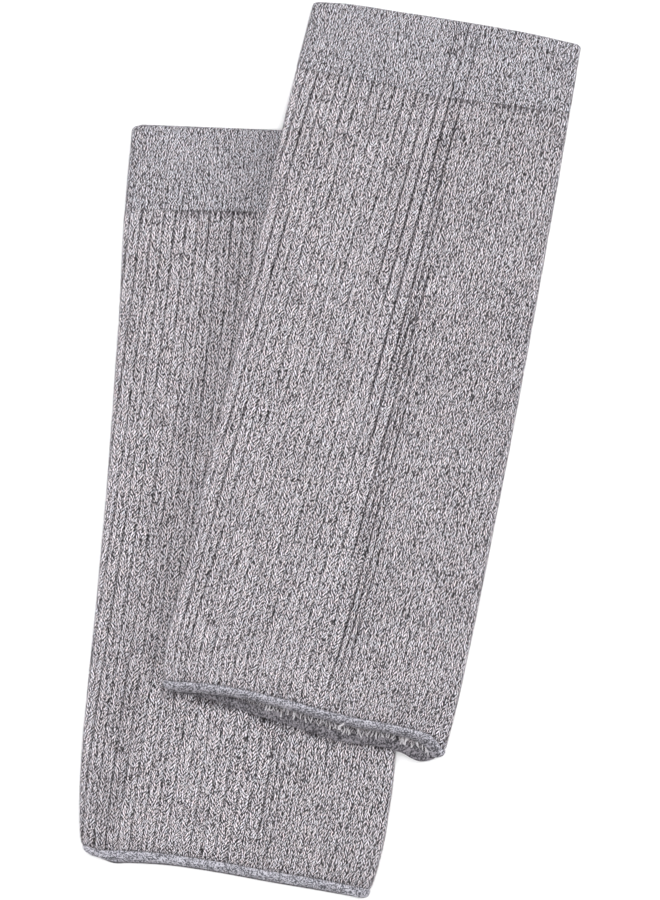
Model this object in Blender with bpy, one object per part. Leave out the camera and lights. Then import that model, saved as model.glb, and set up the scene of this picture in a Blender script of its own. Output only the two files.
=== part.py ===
"""A pair of knitted knee warmers laid flat, one crossed over the other. Metres, +Z up.

Each warmer is an open tube of knit pressed flat: a plain welt at the top, a body with raised ribs over
the left of its front, and a narrow rolled hem round the foot. The ribs lean more than the tube does, so
they run off round its left fold one after another. The under warmer rests on the surface. The upper one
lies across it, and sinks to the surface past the under one's edges.
"""

import math
from collections import namedtuple

import bmesh
import bpy
import numpy as np

# Every size below is in millimetres and every angle in degrees. MM turns a size into metres.
MM = 0.001

# The cloth
WALL = 1.5
LAYER_GAP = 0.4
FLAT_THICKNESS = 2 * WALL + LAYER_GAP
FOLD = math.pi * FLAT_THICKNESS / 2
SEAM_GAP = 0.3
RIB_RISE = 0.4
RIB_FADE = 5.0
HEM_WIDTH = 4.6
HEM_BULGE = 0.5

# The knit: how many wales run round a tube, how many of them are drawn closer together by the ribs, and
# how close. A rib is two wales wide, and the grooves between ribs follow the even wales.
WALES = 96
RIBBED_WALES = 26
RIB_PITCH = 0.957
GROOVE_WALES = 0.56
FIRST_GROOVE = -4
LAST_GROOVE = 34
LAST_ROUND_THE_FOLD = 8
RIB_EDGE_FADE = 4.0

# How the upper warmer lies over the under one
LYING_GAP = 0.3
LYING_HEIGHT = FLAT_THICKNESS + RIB_RISE + LYING_GAP
EDGE_CLEARANCE = 1.5
RUN_OUT = 22.0

# How far along a warmer the curves of its top edge, its welt's seam and its foot are felt
TOP_REACH = 25.0
SEAM_REACH = 25.0
FOOT_REACH = 45.0
MOUTH_REACH = 30.0

# How full the mouth's arch and the hem's roll are: 1 is a plain sine, and less is squarer
MOUTH_FULLNESS = 0.6
HEM_FULLNESS = 0.7

# How fine the walls are: steps across the front, the back and the inside, and rows down the length. The
# back's columns crowd towards the right fold, where the upper warmer's foot turns up.
PLAIN_STEP = 7.0
BACK_STEP = 8.5
INNER_STEP = 8.5
BACK_CROWDING = 1.35
WELT_ROW_STEP = 9.0
UPPER_ROW_STEP = 10.0
UNDER_ROW_STEP = 20.0
LEAST_ROW_STEP = 0.5
OUTLINE_STEPS = 24
HEM_ROWS = (0.0, 0.2, 0.5, 0.8, 1.0)
FOLD_PARTS = (0.25, 0.5, 0.75)
SHARP_ANGLE = 50

# A section runs across a warmer from fold to fold: how far down the length its middle lies, how far
# that is to the right of the straight axis, the flat width, and its turn clockwise from square.
Section = namedtuple("Section", "along shift width lean")

# An edge point says how far down past a straight section an edge or seam lies, at a share of the width
# from the left. The front and back layers meet at the folds, so their feet begin and end alike.
EdgePoint = namedtuple("EdgePoint", "share past")

# How far the wales have drifted to the left, round the tube, at a place along a warmer
Drift = namedtuple("Drift", "along left")

# A warmer leans to the left by its heading as it runs down from the middle of its top edge. Its first
# wale is the distance of wale 0 from the left fold at the seam, and its ribs end at the rib edge, which is
# a share of the front's width.
Warmer = namedtuple(
    "Warmer",
    "name top_x top_y heading welt sections first_wale drift rib_edge top_edge seam front_foot"
    " back_foot mouth_lift corners draped",
)

# The radius of each rounded corner in plan
Corners = namedtuple("Corners", "top foot_left foot_right")

UPPER = Warmer(
    name="upper",
    top_x=55.2,
    top_y=201.8,
    heading=11.45,
    welt=32.6,
    sections=(
        Section(along=0.0, shift=0.3, width=128.2, lean=-2.3),
        Section(along=32.6, shift=0.0, width=131.1, lean=-1.9),
        Section(along=73.0, shift=0.3, width=133.0, lean=-1.2),
        Section(along=168.0, shift=0.6, width=136.4, lean=-0.2),
        Section(along=263.0, shift=-0.2, width=139.3, lean=0.8),
        Section(along=312.0, shift=-1.4, width=140.5, lean=1.2),
        Section(along=336.9, shift=-0.8, width=136.6, lean=1.6),
    ),
    first_wale=3.5,
    drift=(
        Drift(along=0.0, left=-1.9),
        Drift(along=32.6, left=0.0),
        Drift(along=120.0, left=6.0),
        Drift(along=220.0, left=12.4),
        Drift(along=300.0, left=16.6),
        Drift(along=336.9, left=18.0),
    ),
    rib_edge=0.57,
    top_edge=(
        EdgePoint(share=0.0, past=-0.3),
        EdgePoint(share=0.12, past=-1.6),
        EdgePoint(share=0.3, past=-1.7),
        EdgePoint(share=0.5, past=-1.9),
        EdgePoint(share=0.8, past=-1.5),
        EdgePoint(share=1.0, past=0.0),
    ),
    seam=(
        EdgePoint(share=0.0, past=0.0),
        EdgePoint(share=0.25, past=0.2),
        EdgePoint(share=0.5, past=2.0),
        EdgePoint(share=0.75, past=0.8),
        EdgePoint(share=1.0, past=0.0),
    ),
    front_foot=(
        EdgePoint(share=0.0, past=-0.3),
        EdgePoint(share=0.12, past=-2.8),
        EdgePoint(share=0.24, past=-4.4),
        EdgePoint(share=0.36, past=-4.5),
        EdgePoint(share=0.48, past=-4.2),
        EdgePoint(share=0.57, past=-3.6),
        EdgePoint(share=0.68, past=-3.4),
        EdgePoint(share=0.79, past=-4.0),
        EdgePoint(share=0.87, past=-4.1),
        EdgePoint(share=0.94, past=-3.3),
        EdgePoint(share=0.975, past=-0.7),
        EdgePoint(share=1.0, past=2.4),
    ),
    back_foot=(
        EdgePoint(share=0.0, past=-0.3),
        EdgePoint(share=0.15, past=-0.8),
        EdgePoint(share=0.3, past=1.4),
        EdgePoint(share=0.5, past=3.4),
        EdgePoint(share=0.65, past=4.8),
        EdgePoint(share=0.78, past=3.1),
        EdgePoint(share=0.88, past=3.4),
        EdgePoint(share=0.925, past=5.0),
        EdgePoint(share=0.955, past=5.6),
        EdgePoint(share=0.98, past=4.7),
        EdgePoint(share=1.0, past=2.4),
    ),
    mouth_lift=2.4,
    corners=Corners(top=1.2, foot_left=3.0, foot_right=3.8),
    draped=True,
)

UNDER = Warmer(
    name="under",
    top_x=-28.7,
    top_y=151.5,
    heading=3.2,
    welt=39.6,
    sections=(
        Section(along=0.0, shift=0.0, width=129.5, lean=-0.9),
        Section(along=39.6, shift=0.0, width=132.2, lean=-1.4),
        Section(along=84.2, shift=1.9, width=135.7, lean=0.0),
        Section(along=157.7, shift=3.4, width=140.5, lean=1.8),
        Section(along=230.7, shift=3.2, width=144.6, lean=3.2),
        Section(along=287.7, shift=2.3, width=148.2, lean=4.1),
        Section(along=318.7, shift=1.1, width=146.6, lean=4.6),
        Section(along=339.2, shift=-0.1, width=142.4, lean=4.9),
        Section(along=353.9, shift=-1.2, width=136.2, lean=4.9),
    ),
    first_wale=1.4,
    drift=(
        Drift(along=0.0, left=-2.2),
        Drift(along=39.6, left=0.0),
        Drift(along=150.0, left=7.6),
        Drift(along=260.0, left=14.6),
        Drift(along=353.9, left=19.6),
    ),
    rib_edge=0.60,
    top_edge=(
        EdgePoint(share=0.0, past=0.0),
        EdgePoint(share=1.0, past=0.0),
    ),
    seam=(
        EdgePoint(share=0.0, past=0.0),
        EdgePoint(share=0.5, past=-0.6),
        EdgePoint(share=1.0, past=0.0),
    ),
    front_foot=(
        EdgePoint(share=0.0, past=-1.2),
        EdgePoint(share=0.06, past=-0.2),
        EdgePoint(share=0.12, past=-1.3),
        EdgePoint(share=0.27, past=-2.8),
        EdgePoint(share=0.45, past=-2.7),
        EdgePoint(share=0.65, past=-1.7),
        EdgePoint(share=0.85, past=-1.0),
        EdgePoint(share=1.0, past=0.4),
    ),
    back_foot=(
        EdgePoint(share=0.0, past=-1.2),
        EdgePoint(share=0.06, past=0.5),
        EdgePoint(share=0.12, past=-0.6),
        EdgePoint(share=0.27, past=-2.1),
        EdgePoint(share=0.45, past=-2.0),
        EdgePoint(share=0.65, past=-1.0),
        EdgePoint(share=0.85, past=-0.3),
        EdgePoint(share=1.0, past=0.4),
    ),
    mouth_lift=0.6,
    corners=Corners(top=3.5, foot_left=6.0, foot_right=1.8),
    draped=False,
)

# A column is one line of points down a wall. A rib column keeps to a wale, and the others to a part of the
# way across their zone. Its rise is how much of a rib's height it takes.
Column = namedtuple("Column", "zone at rise")


def soft_step(value):
    """Rises smoothly from 0 to 1 as the value does."""
    value = min(max(value, 0.0), 1.0)
    return value * value * (3 - 2 * value)


def between(rows, key, value, place):
    """Reads one column of a table at a place between its rows, on a smooth curve through them."""
    keys = [getattr(row, key) for row in rows]
    values = [getattr(row, value) for row in rows]
    place = min(max(place, keys[0]), keys[-1])
    last = len(rows) - 1
    i = max(n for n in range(last) if keys[n] <= place)

    def slope(n):
        low, high = max(n - 1, 0), min(n + 1, last)
        return (values[high] - values[low]) / (keys[high] - keys[low])

    span = keys[i + 1] - keys[i]
    t = (place - keys[i]) / span
    return (
        values[i] * (1 + 2 * t) * (1 - t) ** 2
        + slope(i) * span * t * (1 - t) ** 2
        + values[i + 1] * (3 - 2 * t) * t**2
        + slope(i + 1) * span * t**2 * (t - 1)
    )


def length_of(warmer):
    return warmer.sections[-1].along


def tuck(distance, radius):
    """How far a fold draws in at this distance from an end whose corner has this radius."""
    if distance >= radius:
        return 0.0
    return radius - math.sqrt(radius**2 - (radius - distance) ** 2)


def plan_point(warmer, along, share, sideways, past):
    """X and Y of a point: along the length, at a share between the folds, moved sideways and past."""
    width = between(warmer.sections, "along", "width", along)
    shift = between(warmer.sections, "along", "shift", along)
    axis = math.radians(warmer.heading)
    turned = axis + math.radians(between(warmer.sections, "along", "lean", along))
    end = length_of(warmer) - along
    corners = warmer.corners
    left = tuck(along, corners.top) + tuck(end, corners.foot_left)
    right = tuck(along, corners.top) + tuck(end, corners.foot_right)
    start = left + FLAT_THICKNESS / 2
    across = start + share * (width - right - FLAT_THICKNESS / 2 - start) - width / 2 + sideways
    down = along + past
    x = warmer.top_x - down * math.sin(axis) + shift * math.cos(axis) + across * math.cos(turned)
    y = warmer.top_y - down * math.cos(axis) - shift * math.sin(axis) - across * math.sin(turned)
    return x, y


def outline(warmer):
    """The warmer's outline in plan, as corner points in order."""
    stations = [length_of(warmer) * n / OUTLINE_STEPS for n in range(OUTLINE_STEPS + 1)]
    edge = FLAT_THICKNESS / 2
    left = [plan_point(warmer, along, 0, -edge, 0) for along in stations]
    right = [plan_point(warmer, along, 1, edge, 0) for along in stations]
    return np.array(left + right[::-1])


def distance_outside(corners, x, y):
    """How far a point lies outside a closed outline, or 0 where it lies inside."""
    point = np.array((x, y))
    ends = np.roll(corners, -1, axis=0)
    run = ends - corners
    share = ((point - corners) * run).sum(axis=1) / (run**2).sum(axis=1)
    nearest = corners + np.clip(share, 0, 1)[:, None] * run
    crosses = (corners[:, 1] > y) != (ends[:, 1] > y)
    rise = np.where(crosses, run[:, 1], 1.0)
    beyond = x < corners[:, 0] + (y - corners[:, 1]) / rise * run[:, 0]
    if np.count_nonzero(crosses & beyond) % 2:
        return 0.0
    return float(np.hypot(*(nearest - point).T).min())


def lying_height(x, y):
    """How high the upper warmer's underside lies: on the under warmer, then down to the surface."""
    outside = distance_outside(UNDER_OUTLINE, x, y)
    return LYING_HEIGHT * (1 - soft_step((outside - EDGE_CLEARANCE) / RUN_OUT))


def past_straight(warmer, along, share, front):
    """How far down past a straight section a point lies, by the top edge, the seam and the foot."""
    top = soft_step(1 - along / TOP_REACH) * between(warmer.top_edge, "share", "past", share)
    from_seam = abs(along - warmer.welt)
    seam = soft_step(1 - from_seam / SEAM_REACH) * between(warmer.seam, "share", "past", share)
    at_front = between(warmer.front_foot, "share", "past", share)
    at_back = between(warmer.back_foot, "share", "past", share)
    foot = soft_step(1 - (length_of(warmer) - along) / FOOT_REACH)
    return top + seam + foot * (front * at_front + (1 - front) * at_back)


def mouth_lift(warmer, along, share):
    """How far the front layer stands up off the back one, near the foot."""
    reach = soft_step(1 - (length_of(warmer) - along) / MOUTH_REACH)
    return warmer.mouth_lift * reach * max(math.sin(math.pi * share), 0.0) ** MOUTH_FULLNESS


def flat_width(warmer, along):
    """The width of a layer between the folds' centres."""
    return between(warmer.sections, "along", "width", along) - FLAT_THICKNESS


def wale_place(warmer, along, wale):
    """How far round the tube from the left fold's front a wale lies."""
    spread = (WALES - RIBBED_WALES * RIB_PITCH) / (WALES - RIBBED_WALES)
    ribbed = min(max(wale, 0), RIBBED_WALES)
    share = (ribbed * RIB_PITCH + (wale - ribbed) * spread) / WALES
    left = between(warmer.drift, "along", "left", along)
    return warmer.first_wale - left + share * 2 * (flat_width(warmer, along) + FOLD)


def column_place(warmer, along, column):
    """How far round the tube from the left fold's front a column lies."""
    flat = flat_width(warmer, along)
    if column.zone == "rib":
        return wale_place(warmer, along, column.at)
    if column.zone == "beside_ribs":
        last_rib = wale_place(warmer, along, LAST_GROOVE + GROOVE_WALES / 2)
        return last_rib + column.at * (flat - last_rib)
    if column.zone == "behind_ribs":
        first_rib = wale_place(warmer, along, FIRST_GROOVE) + 2 * (flat + FOLD)
        return flat + FOLD + column.at * (first_rib - flat - FOLD)
    starts = {"front": 0, "right_fold": flat, "back": flat + FOLD, "left_fold": 2 * flat + FOLD}
    across = FOLD if column.zone.endswith("fold") else flat
    return starts[column.zone] + column.at * across


def share_and_angle(warmer, along, place):
    """A place round the tube as its share between the folds and its angle round the nearer one."""
    flat = flat_width(warmer, along)
    place = place % (2 * (flat + FOLD))
    if place <= flat:
        return place / flat, 90.0
    if place < flat + FOLD:
        return 1.0, 90 - 180 * (place - flat) / FOLD
    if place <= 2 * flat + FOLD:
        return (2 * flat + FOLD - place) / flat, -90.0
    return 0.0, -90 + 180 * (place - 2 * flat - FOLD) / FOLD


def ribbed(warmer, along, wale):
    """How much of its height a rib has: all within the ribbed part, and less at its right edge."""
    middle = wale_place(warmer, along, 2 * math.floor(wale / 2) + 1)
    edge = warmer.rib_edge * flat_width(warmer, along)
    return soft_step((edge - middle) / RIB_EDGE_FADE + 0.5)


def wall_point(warmer, along, column, radius, raised):
    """One point of a flattened tube's wall, in metres."""
    share, angle = share_and_angle(warmer, along, column_place(warmer, along, column))
    turned = math.radians(angle)
    front = (1 + math.sin(turned)) / 2
    reach = radius + raised * front
    side = -1 if share < 0.5 else 1
    past = past_straight(warmer, along, share, front)
    x, y = plan_point(warmer, along, share, side * math.cos(turned) * reach, past)
    z = FLAT_THICKNESS / 2 + math.sin(turned) * reach + front * mouth_lift(warmer, along, share)
    if warmer.draped:
        z += lying_height(x, y)
    return x * MM, y * MM, z * MM


def even_parts(width, step):
    """Parts from 0 to 1, both included, no more than a step apart."""
    count = math.ceil(width / step)
    return [n / count for n in range(count + 1)]


def plain_loop(width, step, folds=FOLD_PARTS):
    """The columns all round a plain tube: its front, right fold, back and left fold."""
    parts = even_parts(width, step)
    front = [Column("front", part, 0) for part in parts]
    right = [Column("right_fold", part, 0) for part in folds]
    back = [Column("back", part**BACK_CROWDING, 0) for part in parts]
    left = [Column("left_fold", part, 0) for part in folds]
    return front + right + back + left


def ribbed_loop(warmer):
    """The columns of a ribbed body: every groove and its two edges, then the plain rest."""
    ribs = []
    half = GROOVE_WALES / 2
    for groove in range(FIRST_GROOVE, LAST_GROOVE + 1, 2):
        if groove > FIRST_GROOVE:
            ribs.append(Column("rib", groove - half, 1))
        ribs.append(Column("rib", groove, 0))
        ribs.append(Column("rib", groove + half, 1))
        if groove < LAST_ROUND_THE_FOLD:
            ribs.append(Column("rib", groove + 1, 1))
    width = warmer.sections[1].width
    beside = even_parts(width * (1 - warmer.rib_edge), PLAIN_STEP)[1:]
    front = [Column("beside_ribs", part, 0) for part in beside]
    right = [Column("right_fold", part, 0) for part in FOLD_PARTS]
    behind = even_parts(width, BACK_STEP)[:-1]
    back = [Column("behind_ribs", part**BACK_CROWDING, 0) for part in behind]
    return ribs + front + right + back


def places_round(warmer, along, columns):
    """The columns' places round the tube at a station, and the first one's again after a whole turn."""
    places = [column_place(warmer, along, column) for column in columns]
    return places + [places[0] + 2 * (flat_width(warmer, along) + FOLD)]


def close_rim(bm, outer, outer_places, inner, inner_places):
    """Fills a tube's end with triangles between its outer and inner loops."""
    way_round = inner_places[-1] - inner_places[0]
    start = outer_places[0] % way_round
    turn = min(range(len(inner)), key=lambda n: abs(inner_places[n] - start))
    shift = outer_places[0] - start
    inner = inner[turn:] + inner[:turn]
    turned = inner_places[turn:-1] + [place + way_round for place in inner_places[: turn + 1]]
    inner_places = [place + shift for place in turned]
    i = j = 0
    while i < len(outer) or j < len(inner):
        a, b = outer[i % len(outer)], inner[j % len(inner)]
        outer_next = j >= len(inner)
        if i < len(outer) and j < len(inner):
            outer_next = outer_places[i + 1] <= inner_places[j + 1]
        if outer_next:
            i += 1
            bm.faces.new((a, outer[i % len(outer)], b))
        else:
            j += 1
            bm.faces.new((a, inner[j % len(inner)], b))


def rows_of_points(bm, warmer, stations, columns, radius, raised):
    """A loop of points at each station down a piece. A station is its place along the warmer."""
    rows = []
    for along in stations:
        row = []
        for column in columns:
            point = wall_point(warmer, along, column, radius, raised(along, column))
            row.append(bm.verts.new(point))
        rows.append(row)
    return rows


def not_raised(along, column):
    return 0


def tube(name, warmer, stations, outer_columns, inner_columns, raised, material, collection):
    """One piece of a warmer: a closed wall between an outer and an inner loop of columns."""
    bm = bmesh.new()
    outer = rows_of_points(bm, warmer, stations, outer_columns, FLAT_THICKNESS / 2, raised)
    inner = rows_of_points(bm, warmer, stations, inner_columns, LAYER_GAP / 2, not_raised)
    for rows in (outer, inner):
        for upper, lower in zip(rows, rows[1:]):
            for n in range(len(upper)):
                after = (n + 1) % len(upper)
                bm.faces.new((upper[n], upper[after], lower[after], lower[n]))
    for end in (0, -1):
        outer_places = places_round(warmer, stations[end], outer_columns)
        inner_places = places_round(warmer, stations[end], inner_columns)
        close_rim(bm, outer[end], outer_places, inner[end], inner_places)
    bmesh.ops.recalc_face_normals(bm, faces=bm.faces)
    mesh = bpy.data.meshes.new(name)
    bm.to_mesh(mesh)
    bm.free()
    mesh.shade_smooth()
    mesh.set_sharp_from_angle(angle=math.radians(SHARP_ANGLE))
    mesh.materials.append(material)
    piece = bpy.data.objects.new(name, mesh)
    collection.objects.link(piece)


def stations_between(start, end, step, extra=()):
    """Places along a piece, from its start to its end, with extra ones near its corners."""
    count = math.ceil((end - start) / step)
    even = [start + (end - start) * n / count for n in range(count + 1)]
    kept = [place for place in even if all(abs(place - other) > LEAST_ROW_STEP for other in extra)]
    return sorted(kept + list(extra))


def build_welt(warmer, material, collection):
    end = warmer.welt - SEAM_GAP / 2
    corner = warmer.corners.top
    stations = stations_between(0, end, WELT_ROW_STEP, extra=(corner * 0.3, corner))
    columns = plain_loop(warmer.sections[0].width, BACK_STEP)
    inner = plain_loop(warmer.sections[0].width, BACK_STEP, folds=(0.5,))
    name = warmer.name + "_welt"
    tube(name, warmer, stations, columns, inner, not_raised, material, collection)


def build_body(warmer, row_step, material, collection):
    start = warmer.welt + SEAM_GAP / 2
    end = length_of(warmer) - HEM_WIDTH - SEAM_GAP / 2
    stations = stations_between(start, end, row_step, extra=(start + RIB_FADE, end - RIB_FADE))

    def raised(along, column):
        if column.zone != "rib":
            return 0
        height = column.rise * RIB_RISE * soft_step(min(along - start, end - along) / RIB_FADE)
        return height * ribbed(warmer, along, column.at)

    inner = plain_loop(warmer.sections[1].width, INNER_STEP, folds=(0.5,))
    name = warmer.name + "_body"
    tube(name, warmer, stations, ribbed_loop(warmer), inner, raised, material, collection)


def build_hem(warmer, material, collection):
    start = length_of(warmer) - HEM_WIDTH + SEAM_GAP / 2
    end = length_of(warmer)
    stations = [start + (end - start) * part for part in HEM_ROWS]

    def raised(along, column):
        part = (along - start) / (end - start)
        return HEM_BULGE * max(math.sin(math.pi * part), 0.0) ** HEM_FULLNESS

    inner = plain_loop(warmer.sections[1].width, INNER_STEP, folds=(0.5,))
    name = warmer.name + "_hem"
    tube(name, warmer, stations, ribbed_loop(warmer), inner, raised, material, collection)


def knit_material(name, colour, roughness):
    material = bpy.data.materials.new(name)
    material.use_nodes = True
    shader = material.node_tree.nodes["Principled BSDF"]
    shader.inputs["Base Color"].default_value = (*colour, 1)
    shader.inputs["Roughness"].default_value = roughness
    shader.inputs["Metallic"].default_value = 0
    material.diffuse_color = (*colour, 1)
    return material


def clear_scene():
    for item in list(bpy.data.objects):
        bpy.data.objects.remove(item, do_unlink=True)


def build():
    clear_scene()
    collection = bpy.data.collections.new("knee_warmers")
    bpy.context.scene.collection.children.link(collection)
    marl_rib = knit_material("marl_rib_knit", (0.36, 0.345, 0.365), 0.9)
    marl_welt = knit_material("marl_welt_knit", (0.35, 0.335, 0.36), 0.9)
    hem_yarn = knit_material("hem_yarn", (0.33, 0.325, 0.37), 0.85)
    for warmer, row_step in ((UPPER, UPPER_ROW_STEP), (UNDER, UNDER_ROW_STEP)):
        build_welt(warmer, marl_welt, collection)
        build_body(warmer, row_step, marl_rib, collection)
        build_hem(warmer, hem_yarn, collection)


UNDER_OUTLINE = outline(UNDER)

build()
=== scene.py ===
"""A pair of knitted knee warmers laid flat, one crossed over the other, seen from straight above.

Six thin shells stand for the six solids and keep their form. On the fronts every stitch's legs are
raised in the mesh, and the ribs' furrows and the soft troughs between them are placed one by one.
"""

import math
from collections import namedtuple

import bpy
import numpy as np
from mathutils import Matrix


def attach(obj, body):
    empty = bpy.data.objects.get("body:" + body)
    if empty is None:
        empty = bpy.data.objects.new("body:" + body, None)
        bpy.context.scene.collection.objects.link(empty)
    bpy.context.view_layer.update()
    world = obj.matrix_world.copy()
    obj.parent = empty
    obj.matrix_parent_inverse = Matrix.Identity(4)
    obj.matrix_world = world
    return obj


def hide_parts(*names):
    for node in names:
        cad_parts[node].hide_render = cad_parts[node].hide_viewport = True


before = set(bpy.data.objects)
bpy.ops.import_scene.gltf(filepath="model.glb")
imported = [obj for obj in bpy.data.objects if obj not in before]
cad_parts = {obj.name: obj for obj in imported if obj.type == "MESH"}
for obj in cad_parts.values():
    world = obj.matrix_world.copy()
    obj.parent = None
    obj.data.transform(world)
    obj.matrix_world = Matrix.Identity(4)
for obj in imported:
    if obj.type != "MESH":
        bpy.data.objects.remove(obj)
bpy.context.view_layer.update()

# Sizes are in millimetres and angles in degrees, but the floor, the lights and the materials are in
# metres. MM turns a size into metres
MM = 0.001
BODY = "root"

# The photograph's height in pixels, how much of the object one pixel covers, and the camera
PHOTO_HEIGHT = 900
PIXEL = 0.4727
CAMERA_HEIGHT = 2000.0
CAMERA_Y = 0.24
SENSOR = 36.0

# The cloth
WALL = 1.5
LAYER_GAP = 0.4
FLAT_THICKNESS = 2 * WALL + LAYER_GAP
FOLD = math.pi * FLAT_THICKNESS / 2
FRONT_WIDTH = 133.0
RIB_RISE = 0.4
RIB_FADE = 5.0
RIB_EDGE_FADE = 4.0
HEM_WIDTH = 4.6
MOUTH_FULLNESS = 0.6

# How the upper warmer lies over the under one
LYING_GAP = 0.3
LYING_HEIGHT = FLAT_THICKNESS + RIB_RISE + LYING_GAP
EDGE_CLEARANCE = 1.5
RUN_OUT = 22.0
OUTLINE_STEPS = 24
FOOT_POINTS = 80

# How far along a warmer the curves of its top edge, its welt's seam, its foot and its mouth are felt
TOP_REACH = 25.0
SEAM_REACH = 25.0
FOOT_REACH = 45.0
MOUTH_REACH = 30.0

# How far a smooth random line strays
NOISE_SPREAD = 0.6

# The knit: how many wales run round a warmer, how far down one course is, how the legs of the stitches
# slant, in courses from one side of a leg to the other, and how narrow a ribbed wale is beside the mean
WALES = 96
COURSE = 1.95
WELT_COURSE = 1.6
PLAIN_SLANT = 1.3
RIB_SLANT = 1.8
RIB_PITCH = 0.957
RIBBED_WALES = 26

# Columns of points stand four to a wale on the dense side and one to a wale on the other. The legs'
# slant fades out at the ends of a piece, and the insides have few rows
DENSE_FROM, DENSE_TO = -4, 58
DENSE_STEP = 0.25
ROWS_PER_COURSE = 2
END_FADE = 5.0
LEG_INSIDE_ROWS = 26
BAND_INSIDE_ROWS = 5

# How deep the legs of the stitches stand, how sharp their rounds are, and how much of the height a wale
# makes up in plain knit and in ribs, and a course's ridge in both
LEG_DEPTH = 0.34
WELT_LEG_DEPTH = 0.22
LEG_SHARPNESS = 0.7
WALE_SHARPNESS = 0.5
PLAIN_WALE_SHARE = 0.5
RIB_WALE_SHARE = 0.25
RIDGE_SHARE = 0.3

# The shells nearly touch at the seams, dip beside them, and round off at the welt's top
SHELL_GAP = 0.06
DIP_DEPTH = 0.15
DIP_WIDTH = 0.5
FOOT_DIP_DEPTH = 0.45
FOOT_DIP_WIDTH = 0.9
WELT_ROUND = 0.8

# The rolled hem: its rows, how full and how proud its roll is, how it is drawn in, its threads, and where
# the painted shade on the lower part of its roll sets in and fades
HEM_ROWS = 15
HEM_FULLNESS = 0.7
HEM_BULGE = 0.5
HEM_PINCH = 0.35
HEM_UNDERCUT = 0.75
HEM_UNEVEN = 0.12
HEM_UNEVEN_SPACING = 9
HEM_WRAPS = 2.0
HEM_TWIST = 1.5
HEM_THREAD_DEPTH = 0.12
HEM_THREAD_BACK = 0.3
HEM_SHADE_FROM, HEM_SHADE_FADE = 0.1, 0.8

# The loops inside the upper warmer's mouth. A pair in brackets is the range of a random draw
LOOPS_FROM, LOOPS_TO = 0.36, 0.955
LOOP_SPACING = 0.0082
LOOP_ABOVE = -1.6
LOOP_LENGTH = 4.0
LOOP_RISE = 1.1
LOOP_RADIUS = 0.3
LOOP_STEPS = 7
LOOP_SIDES = 5
LOOP_SIZES = (0.5, 1.25)
LOOP_LEANS = (-1.2, 1.8)
LOOP_SHIFTS = (-1.3, 1.0)
LOOP_BENDS = (-0.8, 0.8)
# The loops' painted shade: darkest at their upper end under the front layer, fading along them, with a
# random draw
LOOP_DARK = 1.3
LOOP_DARK_FALL = 2.2
LOOP_DARK_DRAWS = (-0.3, 0.6)

# The loose end of thread at the upper hem's front
END_SHARE = 0.64
END_START = 1.0
END_LENGTH = 3.6
END_RADIUS = 0.5
END_RISE = 0.2
END_FALL = 1.6
END_BEND = 0.006

# The furrows between ribs. The faint ones come and go along two waves, each with its length and its shift
# from wale to wale, and are deeper below the welt. The tables' furrows fade at their ends and wander in
# depth. Shade is painted into the furrows by their depth: one that is FULL_DARK deep or more takes the
# full painted shade
WALE_WIDTH = 2.77
FAINT_FURROW = 0.2
FAINT_WIDTH = 0.5
FAINT_WAVES = ((9.0, 1.7), (23.0, 2.9))
SEAM_FURROWS = 1.8
SEAM_FURROW_REACH = 20.0
FURROW_FADE = 8.0
FURROW_WANDER = 0.45
WANDER_SPACING = 7
FULL_DARK = 0.75

# A swell sets in over the first fifth of its length and fades over the last quarter
SWELL_START, SWELL_END = 0.2, 0.25

# The painted highlight along the folds, which makes the cloth paler and smoother there: how far in it
# reaches, and its strength at the right fold
RIM_REACH = 4.3
RIGHT_RIM = 0.4

# The dark dashes below the welt's seam: how dark they are and how far down they reach, how they fade
# towards both folds, how they rise and fall from wale to wale, and how they are broken
SEAM_SHADE = 1.9
SEAM_SHADE_REACH = 1.9
SEAM_FAINT = 0.35
SEAM_LEFT_FADE = 0.3
SEAM_RIGHT, SEAM_RIGHT_FADE = 0.84, 0.12
SEAM_RIGHT_LOSS = 0.7
DASH_LEVEL, DASH_SWING = 0.5, 0.65
BREAK_LEVEL, BREAK_SWING = 0.9, 1.1
BREAK_SPACING = 6

# The soft shade above the hem
FOOT_SHADE = 0.2
FOOT_SHADE_REACH = 3.0

# The shade on the under warmer beside the upper one's left fold: how dark it is, how far from the fold
# it is full, and how far it fades. The fold's line runs between two places along the upper warmer
SIDE_SHADE = 0.21
SHADE_START, SHADE_REACH = 6.0, 28.0
LINE_FROM, LINE_TO = 60.0, 300.0

# The thin broken shade below the upper warmer's foot, which reaches further towards its left end
CONTACT_SHADE = 1.0
CONTACT_REACH = 1.9
CONTACT_SHARPNESS = 4
CONTACT_LEFT, CONTACT_FADE = -30.0, 40.0
CONTACT_EDGE, CONTACT_EDGE_FADE = 2.0, 4.0
CONTACT_LEVEL, CONTACT_SWING = 0.6, 0.8
CONTACT_SPACING = 3

# The shade inside the tubes
LEG_INSIDE_DARK = 0.55
WELT_INSIDE_DARK = 0.4
HEM_INSIDE_DARK = 1.0

# How the yarn's strokes lie: how many legs a wale has, how the legs slant, and how many cells of noise
# there are to a wale and to a course
Yarn = namedtuple("Yarn", "legs shift slant across down")
PLAIN_YARN = Yarn(legs=2, shift=0.0, slant=PLAIN_SLANT, across=7.7, down=3.6)
RIB_YARN = Yarn(legs=1, shift=0.5, slant=RIB_SLANT, across=7.7, down=3.6)

# A stroke is mostly the grain of its cells, over a soft noise whose place differs from leg to leg. Each
# column of cells is moved along from the one before. The stroke a ply's width beside it is taken off
GRAIN = 0.9
LEG_OFFSET = 5.37
SOFT_CONTRAST = 2.2
STAGGER = 0.37
PLY_WIDTH = 0.13
BESIDE = 0.6

# What varies the strokes: clouds, mottles and streaks, and the painted light and shade of the courses'
# ridges and of the wales' columns with the gaps between them
Variation = namedtuple("Variation", "across down detail share")
MOTTLE = Variation(across=0.3, down=0.8, detail=1.0, share=0.2)
STREAK = Variation(across=6.0, down=0.14, detail=0.0, share=0.25)
CLOUD_SCALE, CLOUD_SHARE = 60.0, 0.3
RIDGES = 0.38
COLUMNS = 0.34
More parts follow.
